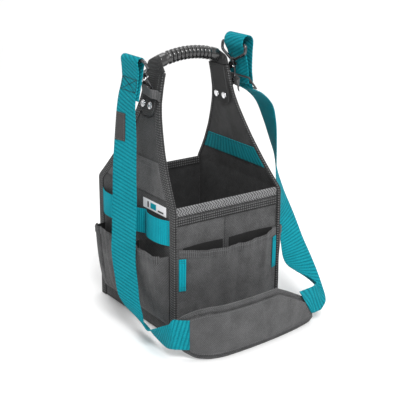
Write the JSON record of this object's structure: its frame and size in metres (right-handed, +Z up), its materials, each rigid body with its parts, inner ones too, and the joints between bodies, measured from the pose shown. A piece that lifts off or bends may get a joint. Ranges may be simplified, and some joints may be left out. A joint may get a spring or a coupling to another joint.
{
  "type": "open top tool tote",
  "caption": "Open top tool tote with leaning end panels, a moulded carry handle, outside pockets, tool loops and a hooked-on padded shoulder strap.",
  "frame": {"origin": "centre of the base on the floor", "axes": "+X along the handle, from the end panel with the label to the other; the front pockets face -Y; +Z up"},
  "size_m": [0.3522, 0.334, 0.4676],
  "materials": {
    "fabric": "dark grey woven cloth",
    "binding": "ribbed binding tape",
    "rim_tape": "light grey twill tape",
    "teal": "ribbed webbing",
    "webbing": "coarse dark webbing",
    "tab": "grosgrain tape",
    "grip": "satin moulded rubber",
    "metal": "gunmetal",
    "rivet": "bright nickel",
    "label": "printed cloth"
  },
  "bodies": {
    "tote": {"end_panel_left": "fabric", "edge_binding_left_front": "binding", "edge_binding_left_back": "binding", "neck_webbing_left": "webbing", "neck_patch_left": "webbing", "rivet_left_1": "rivet", "rivet_left_2": "rivet", "inner_band_left": "teal", "slip_pocket_left": "fabric", "loop_band_left": "teal", "side_pocket_left_front": "fabric", "side_pocket_left_back": "fabric", "front_tab_left": "teal", "snap_hook_left": "metal", "hook_eye_left": "metal", "hook_loop_left": "webbing", "hook_band_left": "tab", "end_panel_right": "fabric", "edge_binding_right_front": "binding", "edge_binding_right_back": "binding", "neck_webbing_right": "webbing", "neck_patch_right": "webbing", "rivet_right_1": "rivet", "rivet_right_2": "rivet", "inner_band_right": "teal", "slip_pocket_right": "fabric", "loop_band_right": "teal", "side_pocket_right_front": "fabric", "side_pocket_right_back": "fabric", "front_tab_right": "teal", "snap_hook_right": "metal", "hook_eye_right": "metal", "hook_loop_right": "webbing", "hook_band_right": "tab", "side_label": "label", "base_panel": "fabric", "front_panel": "fabric", "back_panel": "fabric", "rim_tape_front": "rim_tape", "rim_tape_back": "rim_tape", "front_pocket_upper": "fabric", "front_pocket_tape": "binding", "front_pocket_lower": "fabric", "handle_grip": "grip", "strap_left": "teal", "strap_right": "teal", "strap_tag": "tab", "strap_adjuster": "metal", "shoulder_pad": "fabric", "pad_sleeve": "fabric"},
    "gate_left": {"hook_gate_left": "metal"},
    "gate_right": {"hook_gate_right": "metal"}
  },
  "joints": [
    {"name": "gate_left_hinge", "type": "hinge", "parent": "tote", "child": "gate_left", "pos_m": [-0.08959, -0.0131, 0.41222], "axis": [0.866, 0, 0.5], "range_deg": [0, 22], "stiffness_Nm_per_rad": 0.004, "springref_deg": -20.05},
    {"name": "gate_right_hinge", "type": "hinge", "parent": "tote", "child": "gate_right", "pos_m": [0.07927, -0.0211, 0.41444], "axis": [0.9976, 0, -0.0698], "range_deg": [0, 22], "stiffness_Nm_per_rad": 0.004, "springref_deg": -20.05}
  ]
}
